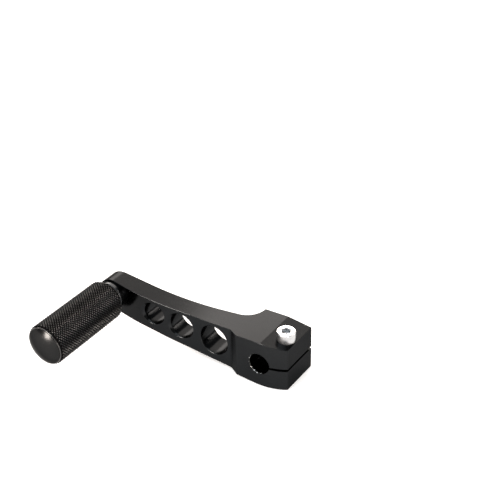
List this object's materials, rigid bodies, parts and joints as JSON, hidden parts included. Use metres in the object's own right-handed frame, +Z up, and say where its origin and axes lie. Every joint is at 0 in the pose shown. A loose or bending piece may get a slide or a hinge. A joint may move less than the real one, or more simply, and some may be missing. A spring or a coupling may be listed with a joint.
{
  "type": "gear shift lever",
  "caption": "Motorcycle gear shift lever: a milled arm with round lightening holes clamps on a serrated shaft and carries a knurled toe roller with a domed cap.",
  "frame": {"origin": "centre of the serrated bore, on the clamp block's face towards the engine", "axes": "+Y along the gear shaft into the engine, +X from the toe roller towards the clamp end, +Z up; the toe roller stands out towards -Y"},
  "size_m": [0.1238, 0.0888, 0.0355],
  "materials": {
    "anodised_arm": "satin black anodised",
    "anodised_sleeve": "fine diamond knurl, black anodised",
    "cap_black": "semi-gloss black",
    "spindle_grey": "turned, black anodised",
    "zinc": "bright zinc plated",
    "bronze": "plain",
    "polymer": "plain",
    "seal": "smooth"
  },
  "bodies": {
    "lever": {"lever_arm": "anodised_arm", "pinch_bolt": "zinc", "peg_screw": "zinc", "peg_lock_washer": "zinc", "peg_spindle": "spindle_grey", "inner_thrust_washer": "polymer", "outer_thrust_washer": "polymer", "end_cap": "cap_black", "cap_seal_ring": "seal"},
    "roller": {"toe_sleeve": "anodised_sleeve", "inner_bush": "bronze", "outer_bush": "bronze"}
  },
  "joints": [
    {"name": "toe_roller_spin", "type": "hinge", "parent": "lever", "child": "roller", "pos_m": [-0.0968, -0.059, 0.0099], "axis": [0, 1, 0], "continuous": true}
  ]
}
